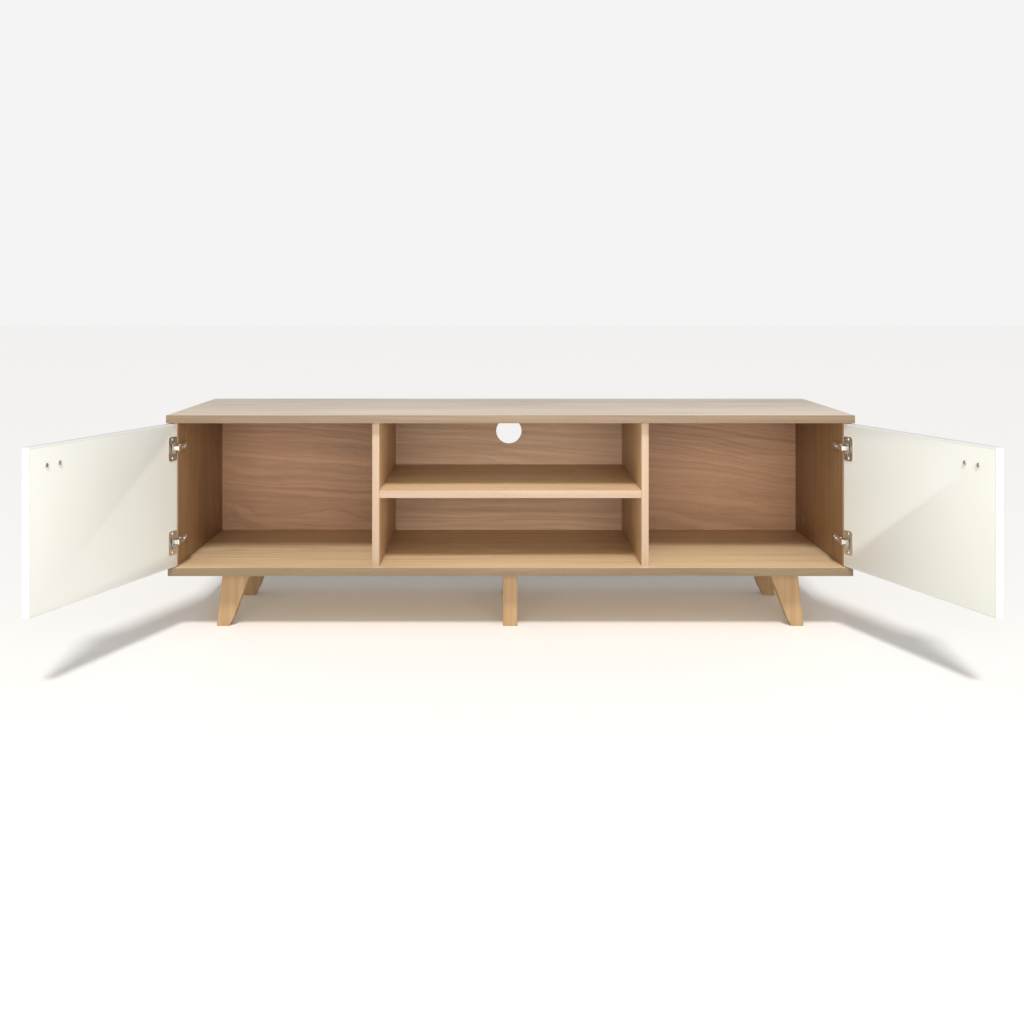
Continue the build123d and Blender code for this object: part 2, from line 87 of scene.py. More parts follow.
# ---- legs, as outline points in x and z on the right of the cabinet ----
LEG_OUTER_TOP = (598.6 * MM, 118.0 * MM)
LEG_OUTER_FOOT = (611.7 * MM, 0.0)
LEG_INNER_TOP = (539.4 * MM, 118.0 * MM)
LEG_KNEE = (576.4 * MM, 17.5 * MM)
LEG_INNER_FOOT = (586.3 * MM, 0.0)
LEG_EDGE = 1.6 * MM
LEG_EDGE_STEPS = 3
LEG_SPARE = 2.0 * MM  # how far the uncut block stands past the outline
LEG_MERGE = 0.01 * MM

# ---- handles ----
HANDLE_NECK = 9.0 * MM
HANDLE_NECK_REACH = 12.0 * MM
HANDLE_EDGE = 1.4 * MM
HANDLE_EDGE_STEPS = 3

# ---- camera ----
CAMERA_PLACE = (-0.023, -2.384, 0.676)
CAMERA_LENS = 39.97
CAMERA_SENSOR = 36.0
CAMERA_SHIFT = (0.0125, -0.2054)

# ---- floor and light ----
FLOOR_SIZE = 60.0
FLOOR_WHITE = 0.93
WORLD_LIGHT = 0.45
WORLD_SEEN = 0.905
KEY_PLACE = (0.0, -2.1, 2.8)
KEY_TARGET = (0.0, 0.0, 0.0)
KEY_POWER = 2.05
KEY_COLOUR = (1.0, 0.98, 0.95)
KEY_SOFTNESS = math.radians(9)
FILL_PLACE = (0.0, -3.275, 0.9)
FILL_TARGET = (0.0, 0.125, 0.3)
FILL_SIZE = (3.0, 1.2)
FILL_POWER = 58.0
FILL_COLOUR = (1.0, 0.90, 0.78)

LEFT = Vector((-1, 0, 0))
RIGHT = Vector((1, 0, 0))
FRONT = Vector((0, -1, 0))
BACK = Vector((0, 1, 0))
UP = Vector((0, 0, 1))
DOWN = Vector((0, 0, -1))


# ---------------------------------------------------------------- materials
def add_node(tree, kind, inputs=None, **settings):
    """A shader node with its settings, and its sockets filled with values or linked."""
    made = tree.nodes.new(kind)
    for name, value in settings.items():
        setattr(made, name, value)
    for key, value in (inputs or {}).items():
        if isinstance(value, bpy.types.NodeSocket):
            tree.links.new(value, made.inputs[key])
        else:
            made.inputs[key].default_value = value
    return made


def start_material(name, **shader_values):
    """An empty material with its shader; returns the material, its tree and the shader node."""
    material = bpy.data.materials.new(name)
    material.use_nodes = True
    tree = material.node_tree
    tree.nodes.clear()
    output = tree.nodes.new("ShaderNodeOutputMaterial")
    shader = tree.nodes.new("ShaderNodeBsdfPrincipled")
    tree.links.new(shader.outputs["BSDF"], output.inputs["Surface"])
    for socket, value in shader_values.items():
        shader.inputs[socket.replace("_", " ")].default_value = value
    return material, tree, shader


def blend_colours(tree, share, first, second, mode="MIX"):
    mixer = add_node(tree, "ShaderNodeMix", data_type="RGBA", blend_type=mode)
    for socket, value in ((0, share), (6, first), (7, second)):
        if isinstance(value, bpy.types.NodeSocket):
            tree.links.new(value, mixer.inputs[socket])
        elif socket:
            mixer.inputs[socket].default_value = (*value, 1.0)
        else:
            mixer.inputs[socket].default_value = value
    return mixer.outputs[2]


def spread(tree, value, low, high, to_low=0.0, to_high=1.0):
    """Stretches the part of a value between low and high to a new range."""
    return add_node(
        tree,
        "ShaderNodeMapRange",
        {"Value": value, "From Min": low, "From Max": high, "To Min": to_low, "To Max": to_high},
        interpolation_type="SMOOTHSTEP",
    ).outputs["Result"]


def arithmetic(tree, operation, first, second):
    return add_node(tree, "ShaderNodeMath", {0: first, 1: second}, operation=operation).outputs[0]


def stretched(tree, vector, scale):
    return add_node(tree, "ShaderNodeMapping", {"Vector": vector, "Scale": scale}).outputs["Vector"]


def noise(tree, vector, scale, detail=2.0, roughness=0.5):
    return add_node(
        tree,
        "ShaderNodeTexNoise",
        {"Vector": vector, "Scale": scale, "Detail": detail, "Roughness": roughness},
    ).outputs["Fac"]


def relief(tree, shader, height, depth, strength=1.0):
    bump = add_node(
        tree, "ShaderNodeBump", {"Height": height, "Distance": depth, "Strength": strength}
    )
    tree.links.new(bump.outputs["Normal"], shader.inputs["Normal"])


# How far each grain direction turns the timber's own length, which is X, out of the object's axes.
GRAIN_TURNS = {"X": (0.0, 0.0, 0.0), "Z": (0.0, -math.pi / 2, 0.0)}


def growth_rings(tree, timber, ring_pitch, wander, drawn_out):
    """Uneven rings round the heart: noise along the distance from it, swaying down the length."""
    long_timber = stretched(tree, timber, (drawn_out, 1.0, 1.0))
    parts = add_node(tree, "ShaderNodeSeparateXYZ", {0: long_timber}).outputs
    across = add_node(tree, "ShaderNodeCombineXYZ", {"Y": parts["Y"], "Z": parts["Z"]})
    length = add_node(
        tree, "ShaderNodeVectorMath", {0: across.outputs[0]}, operation="LENGTH"
    )
    reach = length.outputs["Value"]
    sway = noise(tree, stretched(tree, long_timber, (3.0, 1.0, 1.0)), 6.0, 3.0, 0.55)
    reach = arithmetic(tree, "ADD", reach, arithmetic(tree, "MULTIPLY", sway, wander))
    count = arithmetic(tree, "DIVIDE", reach, ring_pitch)
    rings = add_node(
        tree,
        "ShaderNodeTexNoise",
        {"W": count, "Scale": 1.0, "Detail": 2.5, "Roughness": 0.6},
        noise_dimensions="1D",
    ).outputs["Fac"]
    return spread(tree, rings, 0.36, 0.64)


def oak(
    name,
    early,
    late,
    grain="X",
    heart=(0.0, 0.0, 0.0),
    lean=(0.0, 0.02, 0.01),
    ring_pitch=6 * MM,
    figure=0.6,
    wander=30 * MM,
    drawn_out=0.09,
    streaks=0.45,
    roughness=(0.42, 0.55),
    pores=0.42,
):
    """Oak grain: growth rings round a leaning heart, long streaks, fine fibres and short pores."""
    material, tree, shader = start_material(name)
    place = add_node(tree, "ShaderNodeTexCoord").outputs["Object"]
    turn = [base + extra for base, extra in zip(GRAIN_TURNS[grain], lean)]
    timber = add_node(
        tree,
        "ShaderNodeMapping",
        {"Vector": place, "Location": heart, "Rotation": turn},
        vector_type="TEXTURE",
    ).outputs["Vector"]
    rings = growth_rings(tree, timber, ring_pitch, wander, drawn_out)
    streak = noise(tree, stretched(tree, timber, (2.2, 75.0, 75.0)), 1.0, 5.0, 0.6)
    fibre = noise(tree, stretched(tree, timber, (14.0, 620.0, 620.0)), 1.0, 3.0, 0.6)
    patch = noise(tree, stretched(tree, timber, (1.3, 5.0, 5.0)), 1.0, 2.0)
    pore_field = noise(tree, stretched(tree, timber, (170.0, 2400.0, 2400.0)), 1.0, 1.0)
    pore = arithmetic(tree, "MULTIPLY", spread(tree, pore_field, 0.58, 0.68), rings)
    darker = [value * 0.72 for value in late]
    paler = [min(1.0, value * 1.15) for value in early]
    pore_colour = [value * 0.45 for value in late]
    colour = blend_colours(tree, arithmetic(tree, "MULTIPLY", rings, figure), early, late)
    layers = (
        (spread(tree, streak, 0.42, 0.72), streaks, darker),
        (spread(tree, patch, 0.40, 0.70), 0.45, paler),
        (spread(tree, fibre, 0.45, 0.75), 0.22, darker),
        (pore, pores, pore_colour),
    )
    for field, share, tone in layers:
        colour = blend_colours(tree, arithmetic(tree, "MULTIPLY", field, share), colour, tone)
    tree.links.new(colour, shader.inputs["Base Color"])
    rough = spread(tree, fibre, 0.3, 0.7, *roughness)
    rough = arithmetic(tree, "ADD", rough, arithmetic(tree, "MULTIPLY", pore, 0.12))
    tree.links.new(rough, shader.inputs["Roughness"])
    sunk = arithmetic(tree, "MULTIPLY", pore, -1.0)
    height = arithmetic(tree, "ADD", sunk, arithmetic(tree, "MULTIPLY", fibre, 0.35))
    relief(tree, shader, height, 0.08 * MM)
    return material


def fibreboard(name, pale, dark):
    """The raw back of thin fibreboard: brown felted fibres with darker chips."""
    material, tree, shader = start_material(name)
    place = add_node(tree, "ShaderNodeTexCoord").outputs["Object"]
    felt = noise(tree, place, 420.0, 6.0, 0.7)
    cloud = noise(tree, place, 9.0, 3.0)
    chips = spread(tree, noise(tree, place, 900.0, 2.0), 0.60, 0.70)
    colour = blend_colours(tree, felt, dark, pale)
    colour = blend_colours(tree, arithmetic(tree, "MULTIPLY", cloud, 0.5), colour, dark)
    chip_colour = [value * 0.5 for value in dark]
    colour = blend_colours(tree, arithmetic(tree, "MULTIPLY", chips, 0.6), colour, chip_colour)
    tree.links.new(colour, shader.inputs["Base Color"])
    tree.links.new(spread(tree, felt, 0.3, 0.7, 0.70, 0.85), shader.inputs["Roughness"])
    relief(tree, shader, felt, 0.12 * MM)
    return material


def white_foil(name, tone, shade, roughness, coat=0.0):
    """White foil on a door: faint clouding, and a fine moulded ripple that softens reflections."""
    material, tree, shader = start_material(name, Coat_Weight=coat, Coat_Roughness=0.12)
    place = add_node(tree, "ShaderNodeTexCoord").outputs["Object"]
    cloud = noise(tree, place, 3.5, 3.0)
    dust = noise(tree, place, 260.0, 4.0, 0.65)
    ripple = noise(tree, place, 520.0, 2.0)
    colour = blend_colours(tree, spread(tree, cloud, 0.3, 0.7), tone, shade)
    speck_colour = [value * 0.88 for value in shade]
    colour = blend_colours(tree, spread(tree, dust, 0.68, 0.80, 0.0, 0.25), colour, speck_colour)
    tree.links.new(colour, shader.inputs["Base Color"])
    tree.links.new(spread(tree, dust, 0.3, 0.7, *roughness), shader.inputs["Roughness"])
    relief(tree, shader, ripple, 0.02 * MM, 0.6)
    return material


def plated_metal(name, bright, dull, roughness):
    """Plated pressed metal: metallic, with clouded plating, fine scratches and dulled patches."""
    material, tree, shader = start_material(name, Metallic=1.0)
    place = add_node(tree, "ShaderNodeTexCoord").outputs["Object"]
    cloud = noise(tree, place, 160.0, 4.0, 0.6)
    scratch = noise(tree, stretched(tree, place, (300.0, 300.0, 6000.0)), 1.0, 3.0, 0.6)
    colour = blend_colours(tree, spread(tree, cloud, 0.35, 0.65), bright, dull)
    tree.links.new(colour, shader.inputs["Base Color"])
    rough = spread(tree, cloud, 0.3, 0.7, *roughness)
    scratch_share = arithmetic(tree, "MULTIPLY", scratch, 0.10)
    tree.links.new(arithmetic(tree, "ADD", rough, scratch_share), shader.inputs["Roughness"])
    relief(tree, shader, scratch, 0.01 * MM, 0.5)
    return material


# The top board's oak is greyer and paler than the other boards. This is its own oak tone with a painted sheen of
# the white surround laid over it.
TOP_OAK_AND_PAINTED_SHEEN = oak(
    "top_board_oak_and_painted_sheen",
    (0.725, 0.63, 0.531),
    (0.522, 0.425, 0.334),
    heart=(0.3, 0.175, 0.36),
    figure=0.5,
)
FLOOR_OAK = oak(
    "bottom_board_oak",
    (0.681, 0.509, 0.317),
    (0.505, 0.351, 0.197),
    heart=(-0.2, 0.095, 0.03),
)
SHELF_OAK = oak(
    "shelf_oak",
    (0.742, 0.538, 0.329),
    (0.55, 0.371, 0.207),
    heart=(0.5, 0.205, 0.18),
)
DIVIDER_OAK = oak(
    "divider_oak",
    (0.546, 0.364, 0.202),
    (0.414, 0.263, 0.135),
    grain="Z",
    heart=(0.4, 0.145, 0.2),
)
# Side panels' inside faces: a darker, redder copy of their oak, which is painted shade for the dim side bays; the
# outward faces get the lighter outer_side_oak below.
SIDE_OAK_WITH_PAINTED_SHADE = oak(
    "side_panel_oak_painted_shade",
    (0.302, 0.176, 0.083),
    (0.226, 0.126, 0.055),
    grain="Z",
    heart=(0.6, 0.155, 0.2),
)
OUTER_SIDE_OAK = oak(
    "outer_side_oak",
    (0.52, 0.41, 0.31),
    (0.40, 0.30, 0.21),
    grain="Z",
    heart=(0.3, 0.085, 0.2),
)
DARK_BAND = oak(
    "dark_edge_band",
    (0.292, 0.21, 0.14),
    (0.219, 0.15, 0.094),
    heart=(0.1, -0.175, 0.3),
    figure=0.35,
    pores=0.3,
)
LOWER_BAND = oak(
    "lower_edge_band",
    (0.232, 0.168, 0.101),
    (0.174, 0.12, 0.067),
    heart=(0.4, -0.175, 0.1),
    figure=0.35,
    pores=0.3,
)
PALE_BAND = oak(
    "pale_edge_band",
    (0.513, 0.383, 0.279),
    (0.458, 0.323, 0.225),
    heart=(0.1, -0.175, 0.2),
    figure=0.3,
    streaks=0.2,
    pores=0.25,
)
PALE_BAND_UPRIGHT = oak(
    "pale_upright_band",
    (0.508, 0.383, 0.274),
    (0.453, 0.323, 0.22),
    grain="Z",
    heart=(0.1, -0.175, 0.2),
    figure=0.3,
    streaks=0.2,
    pores=0.25,
)
SIDE_BACK_OAK = oak(
    "side_back_print",
    (0.496, 0.297, 0.184),
    (0.283, 0.16, 0.092),
    heart=(-0.1, 0.575, 0.1),
    lean=(0.0, 0.06, 0.03),
    wander=50 * MM,
    drawn_out=0.13,
    figure=0.36,
    streaks=0.35,
)
CENTRE_BACK_OAK = oak(
    "centre_back_print",
    (0.666, 0.474, 0.329),
    (0.486, 0.32, 0.202),
    heart=(0.0, 0.525, 0.25),
    figure=0.45,
)
LEG_OAK = oak(
    "leg_oak",
    (0.44, 0.29, 0.151),
    (0.342, 0.212, 0.102),
    grain="Z",
    heart=(0.5, 0.185, 0.1),
    ring_pitch=9 * MM,
    figure=0.4,
    pores=0.3,
)
RAW_FIBREBOARD = fibreboard("raw_fibreboard", (0.36, 0.24, 0.15), (0.22, 0.14, 0.085))
DOOR_INSIDE = white_foil(
    "door_inside_white", (0.749, 0.764, 0.734), (0.721, 0.736, 0.698), (0.34, 0.46)
)
DOOR_OUTSIDE = white_foil(
    "door_outside_white", (0.76, 0.765, 0.75), (0.74, 0.745, 0.73), (0.18, 0.26), 0.4
)
DOOR_EDGE_WHITE = white_foil(
    "door_edge_white", (0.75, 0.76, 0.77), (0.73, 0.74, 0.75), (0.26, 0.36)
)
NICKEL = plated_metal(
    "hinge_nickel_plate", (0.82, 0.79, 0.74), (0.68, 0.64, 0.58), (0.28, 0.42)
)
ZINC_PLATED = plated_metal(
    "zinc_plated_steel", (0.70, 0.70, 0.70), (0.55, 0.55, 0.56), (0.22, 0.36)
)
CAST_ZINC = plated_metal("cast_zinc", (0.52, 0.52, 0.53), (0.40, 0.40, 0.41), (0.40, 0.55))
BEECH = oak("beech_dowel", (0.66, 0.50, 0.33), (0.56, 0.40, 0.25), grain="Z", figure=0.3)


# ---------------------------------------------------------------- modelling helpers
def clear_selection():
    bpy.ops.object.select_all(action="DESELECT")


def pick_up(piece):
    clear_selection()
    piece.select_set(True)
    bpy.context.view_layer.objects.active = piece


def block(name, low, high):
    """A cube set between two corners, its place already in its mesh."""
    clear_selection()
    low = Vector(low)
    high = Vector(high)
    bpy.ops.mesh.primitive_cube_add(size=1.0, location=(low + high) / 2)
    piece = bpy.context.active_object
    piece.scale = high - low
    bpy.ops.object.transform_apply(location=True, rotation=True, scale=True)
    piece.name = name
    piece.data.name = name
    return piece


def open_edit(piece, kind="FACE"):
    pick_up(piece)
    bpy.ops.object.mode_set(mode="EDIT")
    bpy.ops.mesh.select_mode(type=kind)
    bpy.ops.mesh.select_all(action="DESELECT")


def close_edit():
    bpy.ops.object.mode_set(mode="OBJECT")


def pick_faces(piece, wanted):
    bpy.ops.mesh.select_mode(type="FACE")
    bpy.ops.mesh.select_all(action="DESELECT")
    mesh = bmesh.from_edit_mesh(piece.data)
    for face in mesh.faces:
        if wanted(face):
            face.select_set(True)
    bmesh.update_edit_mesh(piece.data)


def pick_edges(piece, wanted):
    bpy.ops.mesh.select_mode(type="EDGE")
    bpy.ops.mesh.select_all(action="DESELECT")
    mesh = bmesh.from_edit_mesh(piece.data)
    for edge in mesh.edges:
        if wanted(edge):
            edge.select_set(True)
    bmesh.update_edit_mesh(piece.data)


def soften_all_edges(offset, steps):
    bpy.ops.mesh.select_mode(type="EDGE")
    bpy.ops.mesh.select_all(action="SELECT")
    bpy.ops.mesh.bevel(offset=offset, segments=steps, affect="EDGES")


def facing(direction):
    return lambda face: face.normal.dot(direction) > FLAT


def leaning(direction):
    """Faces turned towards a direction, with the arrises round them."""
    return lambda face: face.normal.dot(direction) > ARRIS_LEAN


def paint_selected(piece, index):
    piece.active_material_index = index
    bpy.ops.object.material_slot_assign()


def set_materials(piece, *materials):
    for material in materials:
        piece.data.materials.append(material)


def hairline(thickness=GLUE_LINE, depth=GLUE_DEPTH):
    """A fine groove round the selected face, which is left selected inside it."""
    bpy.ops.mesh.inset(thickness=thickness, depth=-depth)
    bpy.ops.mesh.inset(thickness=thickness, depth=depth)


def take_out(piece, cutter):
    """Cuts one closed shape out of another and removes the cutter."""
    pick_up(piece)
    cut = piece.modifiers.new("cut", "BOOLEAN")
    cut.operation = "DIFFERENCE"
    cut.solver = "EXACT"
    cut.object = cutter
    bpy.ops.object.modifier_apply(modifier=cut.name)
    bpy.data.objects.remove(cutter)


def round_cutter(radius, length, middle, direction, sides):
    """A round bar to cut with, its middle at a point and its length along a direction."""
    clear_selection()
    turn = direction.to_track_quat("Z", "Y").to_euler()
    bpy.ops.mesh.primitive_cylinder_add(
        vertices=sides, radius=radius, depth=length, location=middle, rotation=turn
    )
    return bpy.context.active_object


def hand_over(piece, body, slot, *nodes):
    """Smooths a finished piece, hangs it under its body and hides the nodes it stands for; the slot is not used.
    """
    pick_up(piece)
    bpy.ops.object.shade_smooth_by_angle(angle=SMOOTH_ANGLE)
    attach(piece, body)
    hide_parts(*nodes)
    return piece


# ---------------------------------------------------------------- boards
def banded_board(name, node, faces, laminate, band):
    """A laminated board with broken arrises, and an edge band let in on each named face."""
    low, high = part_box(node)
    board = block(name, low, high)
    set_materials(board, laminate, band)
    open_edit(board)
    soften_all_edges(ARRIS, ARRIS_STEPS)
    for direction in faces:
        pick_faces(board, leaning(direction))
        paint_selected(board, 1)
        pick_faces(board, facing(direction))
        hairline()
    close_edit()
    return hand_over(board, "cabinet", "oak_board", node)


def make_boards():
    all_round = (FRONT, BACK, LEFT, RIGHT)
    banded_board("top_board_laminate", "top_board", all_round, TOP_OAK_AND_PAINTED_SHEEN, DARK_BAND)
    banded_board("bottom_board_laminate", "bottom_board", all_round, FLOOR_OAK, LOWER_BAND)
    for side in ("left", "right"):
        outward = LEFT if side == "left" else RIGHT
        # The side panel is laid in the darker oak, which carries painted shade, then its outward faces are painted
        # in the lighter outer oak.
        panel = banded_board(
            f"{side}_side_laminate", f"{side}_side_panel", (FRONT,), SIDE_OAK_WITH_PAINTED_SHADE, PALE_BAND_UPRIGHT
        )
        set_materials(panel, OUTER_SIDE_OAK)
        open_edit(panel)
        pick_faces(panel, leaning(outward))
        paint_selected(panel, 2)
        close_edit()
        banded_board(
            f"{side}_divider_laminate", f"{side}_divider", (FRONT,), DIVIDER_OAK, PALE_BAND_UPRIGHT
        )
    banded_board("centre_shelf_laminate", "centre_shelf", (FRONT,), SHELF_OAK, PALE_BAND)


# ---------------------------------------------------------------- cam covers
def disc(name, middle, direction, material):
    """A stuck-on cover: a thin round plate with its outer rim eased."""
    clear_selection()
    turn = direction.to_track_quat("Z", "Y").to_euler()
    bpy.ops.mesh.primitive_cylinder_add(
        vertices=COVER_SIDES,
        radius=COVER_RADIUS,
        depth=COVER_THICK,
        location=middle + direction * COVER_THICK / 2,
        rotation=turn,
    )
    cover = bpy.context.active_object
    bpy.ops.object.transform_apply(location=True, rotation=True, scale=True)
    cover.name = name
    set_materials(cover, material)
    open_edit(cover)
    pick_faces(cover, facing(direction))
    bpy.ops.mesh.bevel(offset=COVER_EASE, segments=2, affect="EDGES")
    close_edit()
    return cover


def make_covers():
    """Round stickers over the cams: in the side bays' end faces, and under the shelf."""
    upright_low, upright_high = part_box("left_side_panel")
    middle_y = (upright_low.y + upright_high.y) / 2
    rows = (middle_y - COVER_SPREAD, middle_y + COVER_SPREAD)
    heights = (upright_low.z + COVER_FROM_END, upright_high.z - COVER_FROM_END)
    shelf_low, shelf_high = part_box("centre_shelf")
    ends = (shelf_low.x + COVER_FROM_END, shelf_high.x - COVER_FROM_END)
    faces = (
        # Covers on the side panels carry the darker side oak with its painted shade.
        ("left_side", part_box("left_side_panel")[1].x, RIGHT, SIDE_OAK_WITH_PAINTED_SHADE),
        ("right_side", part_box("right_side_panel")[0].x, LEFT, SIDE_OAK_WITH_PAINTED_SHADE),
        ("left_divider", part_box("left_divider")[0].x, LEFT, DIVIDER_OAK),
        ("right_divider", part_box("right_divider")[1].x, RIGHT, DIVIDER_OAK),
    )
    covers = []
    for name, x, direction, material in faces:
        places = [(x, y, z) for y in rows for z in heights]
        covers.append((name, places, direction, material))
    under = [(x, y, shelf_low.z) for x in ends for y in rows]
    covers.append(("shelf", under, DOWN, SHELF_OAK))
    for name, places, direction, material in covers:
        for number, place in enumerate(places, 1):
            cover = disc(f"{name}_cover_{number}", Vector(place), direction, material)
            hand_over(cover, "cabinet", "oak_board", "cam_covers")


# ---------------------------------------------------------------- back panels
def cable_mount():
    return next(mount for mount in frame["record"]["mounts"] if mount["name"] == "cable_hole")


def bore_cable_hole(panel):
    """Cuts the round cable hole and breaks its two rims."""
    mount = cable_mount()
    middle = Vector(mount["pos_m"])
    radius = mount["dims"]["r_mm"] * MM
    take_out(panel, round_cutter(radius, HOLE_CUTTER_LENGTH, middle, BACK, HOLE_SIDES))
    open_edit(panel)

    def on_rim(edge):
        from_axis = [math.hypot(v.co.x - middle.x, v.co.z - middle.z) for v in edge.verts]
        level = abs(edge.verts[0].co.y - edge.verts[1].co.y) < RIM_LEVEL
        return level and all(abs(distance - radius) < RIM_REACH for distance in from_axis)

    pick_edges(panel, on_rim)
    bpy.ops.mesh.bevel(offset=HOLE_EASE, segments=2, affect="EDGES")
    close_edit()


def back_panel(node, slot, printed, holed=False):
    """A thin panel: printed grain inside, raw fibreboard behind and on its edges."""
    low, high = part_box(node)
    panel = block(f"{node}_board", low, high)
    set_materials(panel, RAW_FIBREBOARD, printed)
    open_edit(panel)
    soften_all_edges(PANEL_EASE, 1)
    close_edit()
    if holed:
        bore_cable_hole(panel)
    open_edit(panel)
    pick_faces(panel, facing(FRONT))
    paint_selected(panel, 1)
    close_edit()
    return hand_over(panel, "cabinet", slot, node)


def make_back_panels():
    back_panel("left_back_panel", "side_back", SIDE_BACK_OAK)
    back_panel("centre_back_panel", "centre_back", CENTRE_BACK_OAK, holed=True)
    back_panel("right_back_panel", "side_back", SIDE_BACK_OAK)


# ---------------------------------------------------------------- legs
def cut_to_line(first, second, y):
    """Cuts the whole piece along the upright plane through two outline points, and fills the cut.

    What lies on the left of the way from the first point to the second is cut away.
    """
    start = Vector((first[0], y, first[1]))
    along = Vector((second[0] - first[0], 0.0, second[1] - first[1])).normalized()
    outward = Vector((-along.z, 0.0, along.x))
    bpy.ops.mesh.select_all(action="SELECT")
    bpy.ops.mesh.bisect(plane_co=start, plane_no=outward, use_fill=True, clear_outer=True)


def mirrored_point(point, side):
    return (point[0] * side, point[1])


def splayed_leg(node, side):
    """A leaning fin, cut from a block along its outer edge, its inner edge and its toe."""
    low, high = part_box(node)
    inner_end = side * (LEG_INNER_TOP[0] - LEG_SPARE)
    outer_end = side * (LEG_OUTER_FOOT[0] + LEG_SPARE)
    left_end, right_end = sorted((inner_end, outer_end))
    leg = block(f"{node}_oak", (left_end, low.y, low.z), (right_end, high.y, high.z))
    set_materials(leg, LEG_OAK)
    open_edit(leg)
    middle_y = (low.y + high.y) / 2
    lines = (
        (LEG_OUTER_FOOT, LEG_OUTER_TOP),
        (LEG_INNER_TOP, LEG_KNEE),
        (LEG_KNEE, LEG_INNER_FOOT),
    )
    for first, second in lines:
        first = mirrored_point(first, side)
        second = mirrored_point(second, side)
        if side > 0:
            first, second = second, first
        cut_to_line(first, second, middle_y)
    bpy.ops.mesh.select_all(action="SELECT")
    bpy.ops.mesh.remove_doubles(threshold=LEG_MERGE)
    bpy.ops.mesh.normals_make_consistent(inside=False)
    soften_all_edges(LEG_EDGE, LEG_EDGE_STEPS)
    close_edit()
    return hand_over(leg, "cabinet", "oak_leg", node)


def centre_leg(node):
    low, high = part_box(node)
    leg = block(f"{node}_oak", low, high)
    set_materials(leg, LEG_OAK)
    open_edit(leg)
    soften_all_edges(LEG_EDGE, LEG_EDGE_STEPS)
    close_edit()
    return hand_over(leg, "cabinet", "oak_leg", node)


def make_legs():
    for row in ("front", "rear"):
        splayed_leg(f"left_{row}_leg", -1)
        splayed_leg(f"right_{row}_leg", 1)
        centre_leg(f"centre_{row}_leg")


# ---------------------------------------------------------------- doors
def door_turn(side):
    """The turn that carries the closed door to where it stands open."""
    joint = next(j for j in frame["joints"] if j["name"] == f"{side}_door_hinge")
    pin = Matrix.Translation(Vector(joint["pos_m"]))
    angle = -math.radians(joint["range_deg"][1])
    return pin @ Matrix.Rotation(angle, 4, Vector(joint["axis"])) @ pin.inverted()


def closed_box(node, turn):
    """The corners that a door node's box has when the door is shut."""
    back = turn.inverted()
    points = [back @ vertex.co for vertex in frame["nodes"][node].data.vertices]
    low = Vector([min(point[axis] for point in points) for axis in range(3)])
    high = Vector([max(point[axis] for point in points) for axis in range(3)])
    return low, high


def swing_open(piece, turn):
    piece.matrix_world = turn
    pick_up(piece)
    bpy.ops.object.transform_apply(location=True, rotation=True, scale=True)


def make_door(side):
    """A slab with rolled edges, a foil seam round its inner face, and two cup bores."""
    turn = door_turn(side)
    node = f"{side}_door"
    low, high = closed_box(node, turn)
    door = block(f"{side}_door_slab", low, high)
    set_materials(door, DOOR_EDGE_WHITE, DOOR_INSIDE, DOOR_OUTSIDE)
    open_edit(door)
    soften_all_edges(DOOR_EDGE, DOOR_EDGE_STEPS)
    for direction, index in ((BACK, 1), (FRONT, 2)):
        pick_faces(door, facing(direction))
        paint_selected(door, index)
    pick_faces(door, facing(BACK))
    bpy.ops.mesh.inset(thickness=FOIL_SEAM_FROM_EDGE)
    hairline()
    close_edit()
    for height in ("lower", "upper"):
        cup_low, cup_high = closed_box(f"{side}_{height}_hinge_cup", turn)
        middle = Vector(((cup_low.x + cup_high.x) / 2, high.y, (cup_low.z + cup_high.z) / 2))
        cutter = round_cutter(CUP_BORE, 2 * CUP_BORE_DEPTH, middle, BACK, CUP_BORE_SIDES)
        take_out(door, cutter)
    swing_open(door, turn)
    return hand_over(door, f"{side}_door_leaf", "white_door", node)


def make_handle(side):
    """A solid pull: a narrow neck, widened by extrusion to a lip."""
    turn = door_turn(side)
    node = f"{side}_door_handle"
    low, high = closed_box(node, turn)
    middle_z = (low.z + high.z) / 2
    neck_low = Vector((low.x, high.y - HANDLE_NECK_REACH, middle_z - HANDLE_NECK / 2))
    neck_high = Vector((high.x, high.y, middle_z + HANDLE_NECK / 2))
    pull = block(f"{side}_door_pull", neck_low, neck_high)
    set_materials(pull, LEG_OAK)
    open_edit(pull)
    pick_faces(pull, facing(FRONT))
    bpy.ops.mesh.extrude_region_move()
    widening = (high.z - low.z) / HANDLE_NECK
    bpy.ops.transform.resize(value=(1.0, 1.0, widening))
    lip_reach = (high.y - low.y) - HANDLE_NECK_REACH
    bpy.ops.mesh.extrude_region_move(TRANSFORM_OT_translate={"value": (0.0, -lip_reach, 0.0)})
    bpy.ops.mesh.select_all(action="SELECT")
    bpy.ops.mesh.normals_make_consistent(inside=False)
    soften_all_edges(HANDLE_EDGE, HANDLE_EDGE_STEPS)
    close_edit()
    swing_open(pull, turn)
    return hand_over(pull, f"{side}_door_leaf", "oak_leg", node)


def make_doors():
    for side in ("left", "right"):
        make_door(side)
        make_handle(side)


# ---------------------------------------------------------------- nodes that keep their own shape
def finish_for(node):
    if node in ("board_dowels", "leg_dowels"):
        return BEECH
    if node in ("cam_locks", "leg_insert_nuts"):
        return CAST_ZINC
    if node.endswith(("_cup", "_arm", "_plate")):
        return NICKEL
    return ZINC_PLATED


def paint_kept_nodes():
    for name, node in frame["nodes"].items():
        if node.hide_render:
            continue
        node.data.materials.clear()
        node.data.materials.append(finish_for(name))


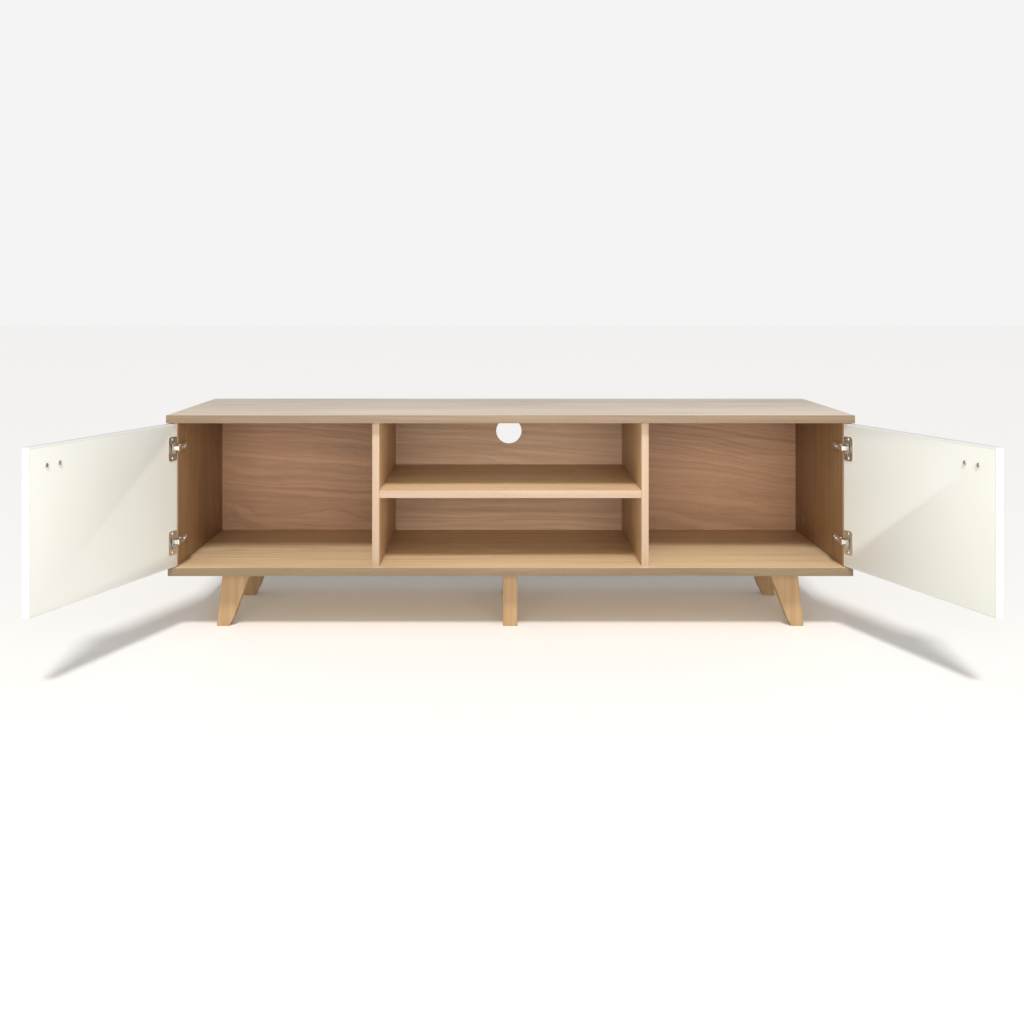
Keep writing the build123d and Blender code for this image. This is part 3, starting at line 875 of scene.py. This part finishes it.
# ---------------------------------------------------------------- stage, lights, camera
def make_floor():
    clear_selection()
    bpy.ops.mesh.primitive_plane_add(size=FLOOR_SIZE, location=(0.0, 0.0, 0.0))
    floor = bpy.context.active_object
    floor.name = "studio_floor"
    material, tree, shader = start_material("studio_white", Roughness=0.9, Specular_IOR_Level=0.1)
    shader.inputs["Base Color"].default_value = (FLOOR_WHITE, FLOOR_WHITE, FLOOR_WHITE, 1.0)
    set_materials(floor, material)


def add_light(name, kind, place, target, power, colour, **shape):
    light = bpy.data.lights.new(name, kind)
    light.energy = power
    light.color = colour
    for setting, value in shape.items():
        setattr(light, setting, value)
    holder = bpy.data.objects.new(name, light)
    bpy.context.scene.collection.objects.link(holder)
    holder.location = place
    aim = Vector(target) - Vector(place)
    holder.rotation_euler = aim.to_track_quat("-Z", "Y").to_euler()


def make_world():
    """An even white surround that is seen brighter than it lights."""
    world = bpy.data.worlds.new("studio")
    world.use_nodes = True
    tree = world.node_tree
    backdrop = tree.nodes["Background"]
    backdrop.inputs["Color"].default_value = (1.0, 1.0, 1.0, 1.0)
    seen = add_node(tree, "ShaderNodeLightPath").outputs["Is Camera Ray"]
    strength = spread(tree, seen, 0.0, 1.0, WORLD_LIGHT, WORLD_SEEN)
    tree.links.new(strength, backdrop.inputs["Strength"])
    bpy.context.scene.world = world


def make_lights():
    make_world()
    add_light("key", "SUN", KEY_PLACE, KEY_TARGET, KEY_POWER, KEY_COLOUR, angle=KEY_SOFTNESS)
    add_light(
        "fill",
        "AREA",
        FILL_PLACE,
        FILL_TARGET,
        FILL_POWER,
        FILL_COLOUR,
        shape="RECTANGLE",
        size=FILL_SIZE[0],
        size_y=FILL_SIZE[1],
    )


def make_camera():
    lens = bpy.data.cameras.new("camera")
    lens.lens = CAMERA_LENS
    lens.sensor_width = CAMERA_SENSOR
    lens.shift_x = CAMERA_SHIFT[0]
    lens.shift_y = CAMERA_SHIFT[1]
    lens.dof.use_dof = False
    camera = bpy.data.objects.new("camera", lens)
    bpy.context.scene.collection.objects.link(camera)
    camera.location = CAMERA_PLACE
    camera.rotation_euler = (math.pi / 2, 0.0, 0.0)
    bpy.context.scene.camera = camera


make_boards()
make_covers()
make_back_panels()
make_legs()
make_doors()
paint_kept_nodes()
make_floor()
make_lights()
make_camera()
bpy.context.scene.view_settings.view_transform = "Standard"
